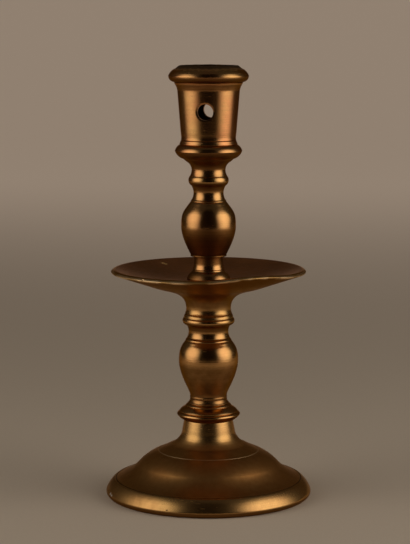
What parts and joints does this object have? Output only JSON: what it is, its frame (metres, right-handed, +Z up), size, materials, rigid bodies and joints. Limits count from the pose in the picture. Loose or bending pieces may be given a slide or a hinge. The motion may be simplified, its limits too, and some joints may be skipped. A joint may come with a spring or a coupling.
{
  "type": "candlestick",
  "caption": "Tall turned brass candlestick with a hollow domed foot, baluster stem, wide mid-stem drip pan and a bored socket with extraction holes.",
  "frame": {"origin": "on the turning axis, at the table that the foot stands on", "axes": "+Z up along the turning axis; the extraction holes lie along Y, and the front is -Y"},
  "size_m": [0.1052, 0.1052, 0.2201],
  "materials": {
    "aged_brass": "polished cast brass, aged and worn",
    "dark_iron": "plain dark iron"
  },
  "bodies": {
    "base": {"foot": "aged_brass", "lower_stem": "aged_brass"},
    "pan": {"drip_pan": "aged_brass"},
    "upper": {"upper_stem": "aged_brass", "candle_socket": "aged_brass"},
    "washer": {"foot_washer": "dark_iron"},
    "nut": {"foot_nut": "dark_iron"}
  },
  "joints": [
    {"name": "pan_turn", "type": "hinge", "parent": "base", "child": "pan", "pos_m": [0, 0, 0.0921], "axis": [0, 0, 1], "range_deg": [0, 1800]},
    {"name": "upper_rise", "type": "slide", "parent": "pan", "child": "upper", "axis": [0, 0, 1], "range_m": [0, 0.01]},
    {"name": "washer_turn", "type": "hinge", "parent": "base", "child": "washer", "pos_m": [0, 0, 0.02275], "axis": [0, 0, -1], "range_deg": [0, 900]},
    {"name": "nut_drop", "type": "slide", "parent": "washer", "child": "nut", "axis": [0, 0, -1], "range_m": [0, 0.005]}
  ],
  "couplings": [
    {"joint": "upper_rise", "follows": "pan_turn", "m_per_rad": 0.00031831},
    {"joint": "nut_drop", "follows": "washer_turn", "m_per_rad": 0.00031831}
  ]
}
